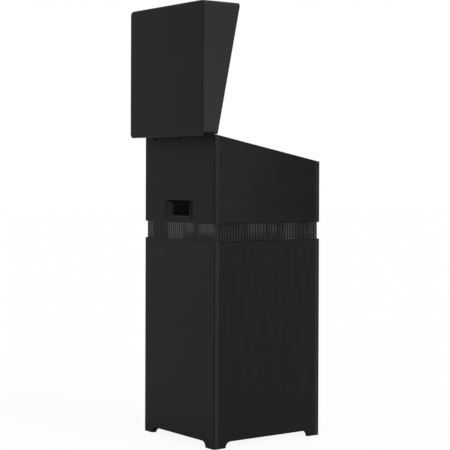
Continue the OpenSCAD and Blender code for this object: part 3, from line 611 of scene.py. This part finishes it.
def add_screw(made, place, radius, height):
    """A low round head, its face along +Z of its place, with a six-sided socket sunk in it."""
    before = len(made.verts)
    socket = 0.45 * radius
    sixth = math.radians(60)
    profile = (
        (radius, 0.0), (radius, 0.4 * height), (0.85 * radius, height), (socket, height),
        (socket, 0.3 * height)
    )
    spin_profile(made, profile, 24)
    bmesh.ops.holes_fill(made, edges=made.edges, sides=24)
    made.verts.ensure_lookup_table()
    head = made.verts[before:]
    for vert in head:
        if vert.co.xy.length < 0.5 * radius:
            angle = math.atan2(vert.co.y, vert.co.x) % sixth
            flat = math.cos(sixth / 2) / math.cos(angle - sixth / 2)
            vert.co.x *= flat
            vert.co.y *= flat
    bmesh.ops.recalc_face_normals(made, faces=made.faces)
    bmesh.ops.transform(made, matrix=place, verts=head)


leaf_screws = 5
leaf_screw_gap = 0.08
leaf_t = 0.0015
screw_radius = 0.0035
screw_height = 0.0012
screw_y = board_face + leaf_t
screw_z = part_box("deck_hinge_leaf")[0].z + 0.006
screws = bmesh.new()
for n in range(leaf_screws):
    screw_x = (n - (leaf_screws - 1) / 2) * leaf_screw_gap
    place = Matrix.Translation((screw_x, screw_y, screw_z)) @ Matrix.Rotation(math.radians(-90), 4, "X")
    add_screw(screws, place, screw_radius, screw_height)
add_piece("hinge_screws", screws, blackened, "cabinet", smooth=30)

# ---- Catches ----
# Two ferrite magnets, fixed behind the deck's front board, meet zinc-plated steel plates on the
# lid's far edge and keep it shut.

ferrite = Finish("ferrite", (0.03, 0.03, 0.031), 0.6, specular=0.4)
ferrite.set("Base Color", ferrite.shade(0.8 + 0.4 * ferrite.noise(150.0)))
ferrite.bump(ferrite.noise(600.0), 0.0001, 0.6)
made = rounded("catch_magnets", 0.001)
add_piece("catch_ferrites", made, ferrite, "cabinet", ["catch_magnets"])
dress(zinc, "catch_plates")

# ---- Front grille ----
# One pressed steel sheet with four rows of upright slots, folded back all round to stand on the
# baffle. It has a fine black powder coat.

powder = Finish("powder_coat", (0.02, 0.0202, 0.0192), 0.5, specular=0.12)
powder.set("Base Color", powder.shade(0.85 + 0.3 * powder.noise(200.0)))
powder.bump(powder.noise(1500.0, 2.0), 0.0001, 0.5)
made = rounded("front_grille", 0.0004, 1)
add_piece("grille_sheet", made, powder, "cabinet", ["front_grille"])

# ---- Loudspeakers ----
# A 12-inch woofer and four small full-range drivers on the baffle, with two moulded reflex ports.
# The baskets are enamelled, the cones are doped paper, and their surrounds and edges are rubber.


def cone_finish(name, centre_z, cap, rim):
    """Doped paper with a glossier dust cap inside and a rubber surround outside."""
    finish = Finish(name, (0.02, 0.02, 0.02), 0.8, specular=0.3)
    x, y, z = finish.axes()
    up = z - centre_z
    radius = (x * x + up * up) ** 0.5
    is_cap = 1.0 - radius.ramp(cap - 0.001, cap + 0.001)
    is_rim = radius.ramp(rim - 0.001, rim + 0.001)
    fibres = finish.noise(350.0, 4.0)
    paper = 0.7 + 0.9 * fibres
    finish.set("Base Color", finish.shade(paper - 0.35 * is_rim - 0.25 * is_cap))
    finish.set("Roughness", 0.85 - 0.35 * is_cap - 0.3 * is_rim)
    finish.bump(fibres * (1.0 - is_rim), 0.0002, 0.8)
    return finish


def middle_height(name):
    """The height of a driver's middle, on the console's centre line."""
    low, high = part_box(name)
    return (low.z + high.z) / 2


enamel = Finish("black_enamel", (0.02, 0.02, 0.021), 0.35, specular=0.4)
enamel.set("Roughness", 0.3 + 0.15 * enamel.noise(60.0))
made = rounded("woofer_basket", 0.0005)
add_piece("basket_enamelled", made, enamel, "cabinet", ["woofer_basket"])
dress(zinc, "woofer_motor")
woofer_cap = 0.037
woofer_rim = 0.112
woofer_z = middle_height("woofer_cone")
woofer_paper = cone_finish("woofer_paper", woofer_z, woofer_cap, woofer_rim)
made = copy_node("woofer_cone")
add_piece("cone_paper", made, woofer_paper, "cabinet", ["woofer_cone"])
small_cap = 0.0115
small_rim = 0.025
for n in ("1", "2", "3", "4"):
    name = "column_driver_" + n
    small_paper = cone_finish("small_paper_" + n, middle_height(name), small_cap, small_rim)
    made = copy_node(name)
    add_piece(name + "_paper", made, small_paper, "cabinet", [name])
made = copy_node("port_tubes")
add_piece("port_mouldings", made, moulding, "cabinet", ["port_tubes"])

# ---- Electronics ----
# Green lacquered boards with their parts, a black anodised heat sink in a zinc-plated tray, and a
# transformer wound with taped wire. They show only through the slots of the panel and the port.

lacquered_board = Finish("board_lacquer", (0.02, 0.09, 0.04), 0.35, specular=0.4)
layout = {"Vector": lacquered_board.place(), "Scale": 60.0, "Mortar Size": 0.06}
tracks = lacquered_board.node("ShaderNodeTexBrick", {"offset": 0.5}, layout)["Fac"]
lacquered_board.set("Base Color", lacquered_board.shade(0.8 + 0.5 * tracks))
dress(lacquered_board, "crossover_board", "mixer_board")
anodised = Finish("black_anodising", (0.03, 0.03, 0.031), 0.45, metallic=0.6)
anodised.set("Roughness", 0.4 + 0.15 * anodised.noise(300.0))
dress(anodised, "heat_sink")
winding = Finish("taped_winding", (0.3, 0.2, 0.05), 0.4, specular=0.5)
winding.set("Base Color", winding.shade(0.8 + 0.4 * winding.noise(30.0, 3.0, (1, 1, 8))))
dress(winding, "transformer")
dress(zinc, "amplifier_tray")

# ---- Control panel ----
# A 2 mm steel panel, powder-coated, that slopes with the deck's rim and is screwed to two cleats.
# Pale lines and numbers are printed on it beside the controls.

rim_fall = 94
rim_run = 485
panel_slope = math.atan(rim_fall / rim_run)
panel_start = Vector((0, -0.0308, 1.012921))
half_run = 0.2205
panel_reach = half_run / math.cos(panel_slope)
strip_x = (-0.147, -0.077, -0.007)
master_x = 0.063
rocker_x = 0.145
socket_y = panel_reach - 0.0526
gain_y = socket_y - 0.054
tone_y = gain_y - 0.05
mute_y = tone_y - 0.044
fader_y = mute_y - 0.106
rocker_y = socket_y - 0.022


def on_panel(x, y, z=0.0):
    """The place on the sloping panel that is x to the right, y up the slope and z out of it."""
    tilt = Matrix.Rotation(panel_slope, 4, "X")
    return Matrix.Translation(panel_start) @ tilt @ Matrix.Translation((x, y, z))


panel_coat = Finish("panel_coat", (0.022, 0.022, 0.023), 0.55, specular=0.25)
panel_coat.set("Base Color", panel_coat.shade(0.85 + 0.3 * panel_coat.noise(250.0)))
panel_coat.bump(panel_coat.noise(1800.0, 2.0), 0.0001, 0.6)
made = rounded("control_panel", 0.0003, 1)
add_piece("panel_coated", made, panel_coat, "cabinet", ["control_panel"])

ink_height = 0.00012


def add_bar(made, place, length, width):
    """A printed bar, lying on its place."""
    size = Matrix.Diagonal((width, length, ink_height, 1))
    raised = place @ Matrix.Translation((0, 0, ink_height / 2))
    bmesh.ops.create_cube(made, size=1.0, matrix=raised @ size)


def add_number(made, place, words, height):
    """A printed number, centred on its place."""
    curve = bpy.data.curves.new("number", "FONT")
    curve.body = words
    curve.size = height
    curve.align_x = "CENTER"
    curve.align_y = "CENTER"
    curve.extrude = ink_height / 2
    curve.resolution_u = 2
    holder = bpy.data.objects.new("number", curve)
    mesh = holder.to_mesh()
    before = len(made.verts)
    made.from_mesh(mesh)
    made.verts.ensure_lookup_table()
    raised = place @ Matrix.Translation((0, 0, ink_height / 2))
    bmesh.ops.transform(made, matrix=raised, verts=made.verts[before:])
    holder.to_mesh_clear()
    bpy.data.objects.remove(holder)
    bpy.data.curves.remove(curve)


dial_turn = 150
dial_step = 30
tick_reach = 0.0145
dial_number_reach = 0.0195
fader_half_travel = 0.03
fader_step = 0.01
scale_reach = 0.0105
scale_number_reach = 0.0175
number_height = 0.0045
strip_number_height = 0.007
ring_height = 0.0075
line_width = 0.0005
rule_x = (-0.112, -0.042, 0.028)
rule_y = 0.035
rule_length = 0.31
rule_width = 0.0004
strip_number_lift = 0.02
switch_mark_reach = 0.026
switch_bar_length = 0.0055
switch_bar_width = 0.0008

ink = Finish("pale_ink", (0.6, 0.6, 0.58), 0.6, specular=0.3)
ink.set("Base Color", ink.shade(0.9 + 0.2 * ink.noise(400.0)))
printed = bmesh.new()
for x in strip_x:
    for y in (gain_y, tone_y):
        for step in range(11):
            turn = Matrix.Rotation(math.radians(dial_turn - dial_step * step), 4, "Z")
            length = 0.003 if step % 5 == 0 else 0.002
            place = on_panel(x, y) @ turn @ Matrix.Translation((0, tick_reach, 0))
            add_bar(printed, place, length, line_width)
        for turn, words in ((dial_turn, "0"), (-dial_turn, "10")):
            spot = Matrix.Rotation(math.radians(turn), 4, "Z") @ Vector((0, dial_number_reach, 0))
            add_number(printed, on_panel(x + spot.x, y + spot.y), words, number_height)
crosswise = Matrix.Rotation(math.radians(90), 4, "Z")
scale_y = fader_y - fader_half_travel
for x in (*strip_x, master_x):
    for step in range(7):
        length = 0.005 if step % 3 == 0 else 0.003
        for side in (-1, 1):
            place = on_panel(x + side * scale_reach, scale_y + fader_step * step) @ crosswise
            add_bar(printed, place, length, line_width)
    for step, words in ((0, "0"), (3, "5"), (6, "10")):
        place = on_panel(x + scale_number_reach, scale_y + fader_step * step)
        add_number(printed, place, words, number_height)
for n, x in enumerate(strip_x):
    add_number(printed, on_panel(x, socket_y + strip_number_lift), str(n + 1), strip_number_height)
for x in rule_x:
    add_bar(printed, on_panel(x, rule_y), rule_length, rule_width)
place = on_panel(rocker_x, rocker_y + switch_mark_reach)
add_bar(printed, place, switch_bar_length, switch_bar_width)
add_number(printed, on_panel(rocker_x, rocker_y - switch_mark_reach), "O", ring_height)
add_piece("panel_print", printed, ink, "cabinet")

panel_screw_x = 0.204
panel_screw_y = 0.21
panel_screw_height = 0.0018
screws = bmesh.new()
for side in (-1, 1):
    for row in (-1, 0, 1):
        place = on_panel(side * panel_screw_x, row * panel_screw_y)
        add_screw(screws, place, screw_radius, panel_screw_height)
add_piece("panel_screws", screws, blackened, "cabinet", smooth=30)

# ---- Sockets and power switch ----
# Three moulded jack sockets, held by nuts on the panel, and a rocker switch in a moulded frame
# that snaps into the panel.

for name in ("input_sockets", "power_switch_frame"):
    made = rounded(name, 0.0005)
    add_piece(name + "_moulded", made, moulding, "cabinet", [name])
made = rounded("power_rocker", 0.0006)
add_piece("rocker_moulded", made, moulding, "power_rocker", ["power_rocker"])

# ---- Rotary knobs ----
# Moulded knobs, pushed on shafts, with a wide foot and a fluted grip. A pale pointer is let into
# each from its rim to near its middle. The gain knobs are darker than the tone knobs.

pale_line = (0.65, 0.65, 0.62)
line_edge = 0.0003
pointer_half_width = 0.0006
pointer_start = 0.0015
pointer_low = 0.0045


def measured(finish, direction):
    """How far a point of a surface lies from the panel's middle, along a direction."""
    inputs = {0: finish.place(), 1: direction}
    dot = finish.node("ShaderNodeVectorMath", {"operation": "DOT_PRODUCT"}, inputs)["Value"]
    return dot - panel_start.dot(direction)


def grip_finish(name, colour, x, y):
    """Moulded plastic, with its distances across, up and out of the panel from x, y."""
    finish = Finish(name, colour, 0.35, specular=0.4)
    over = finish.axes()[0] - x
    up = measured(finish, Vector((0, math.cos(panel_slope), math.sin(panel_slope)))) - y
    high = measured(finish, Vector((0, -math.sin(panel_slope), math.cos(panel_slope))))
    return finish, over, up, high


def draw_line(finish, line):
    """Colours a grip, pale where line is 1."""
    plain = finish.shade(0.9 + 0.2 * finish.noise(300.0))
    finish.set("Base Color", finish.blend(line, plain, pale_line))


def pointer_finish(name, colour, x, y):
    finish, over, up, high = grip_finish(name, colour, x, y)
    beside = over.size().ramp(pointer_half_width, pointer_half_width + line_edge)
    line = (1.0 - beside) * up.ramp(pointer_start, pointer_start + line_edge)
    draw_line(finish, line * high.ramp(pointer_low, pointer_low + line_edge))
    finish.bump(finish.noise(1500.0), 0.00004, 0.5)
    return finish


knob_profile = (
    (0, -0.014), (0.003, -0.014), (0.003, 0.0), (0.0094, 0.0), (0.01, 0.0005), (0.01, 0.0024),
    (0.0095, 0.003), (0.0083, 0.0034), (0.0079, 0.0042), (0.0076, 0.007), (0.0072, 0.011),
    (0.007, 0.0146), (0.0066, 0.0155), (0.0056, 0.016), (0.0034, 0.016), (0.0028, 0.0157), (0, 0.0157)
)
flutes = 18
flute_low = 0.004
flute_high = 0.015
flute_depth = 0.07
knob_lift = 0.001
gain_grey = (0.045, 0.045, 0.048)
tone_grey = (0.09, 0.09, 0.095)


def add_knob(name, colour, x, y):
    made = bmesh.new()
    spin_profile(made, knob_profile, 4 * flutes)
    for vert in made.verts:
        if flute_low < vert.co.z < flute_high:
            angle = math.atan2(vert.co.y, vert.co.x)
            dent = 1.0 - flute_depth * max(0.0, math.cos(flutes * angle))
            vert.co.x *= dent
            vert.co.y *= dent
    bmesh.ops.transform(made, matrix=on_panel(x, y, knob_lift), verts=made.verts)
    finish = pointer_finish(name + "_moulding", colour, x, y)
    add_piece(name + "_grip", made, finish, name, [name], smooth=40)


for n, x in enumerate(strip_x):
    add_knob("gain_knob_" + str(n + 1), gain_grey, x, gain_y)
    add_knob("tone_knob_" + str(n + 1), tone_grey, x, tone_y)

# ---- Mute buttons ----
# Three square caps, moulded in red, that stand 5 mm proud of the panel on sprung switches and
# are pressed half way in.

red = Finish("red_moulding", (0.3, 0.022, 0.015), 0.35, specular=0.4)
red.set("Base Color", red.shade(0.9 + 0.2 * red.noise(200.0)))
red.set("Roughness", 0.3 + 0.15 * red.noise(120.0))
for n in ("1", "2", "3"):
    name = "mute_button_" + n
    add_piece(name + "_cap", rounded(name, 0.0009, 3), red, name, [name])

# ---- Faders ----
# Moulded caps on steel blades that run in the panel's slots. Each is hollowed for a fingertip and
# has a pale line across its middle.

fader_grey = (0.07, 0.07, 0.074)
fader_line_half_width = 0.0005
fader_foot = 0.002


def add_fader(name, x):
    made = rounded(name, 0.0006, 3)
    finish, over, up, high = grip_finish(name + "_moulding", fader_grey, x, fader_y)
    beside = up.size().ramp(fader_line_half_width, fader_line_half_width + line_edge)
    draw_line(finish, (1.0 - beside) * high.ramp(fader_foot, fader_foot + 0.0002))
    add_piece(name + "_cap", made, finish, name, [name])


for n, x in enumerate(strip_x):
    add_fader("level_fader_" + str(n + 1), x)
add_fader("master_fader", master_x)
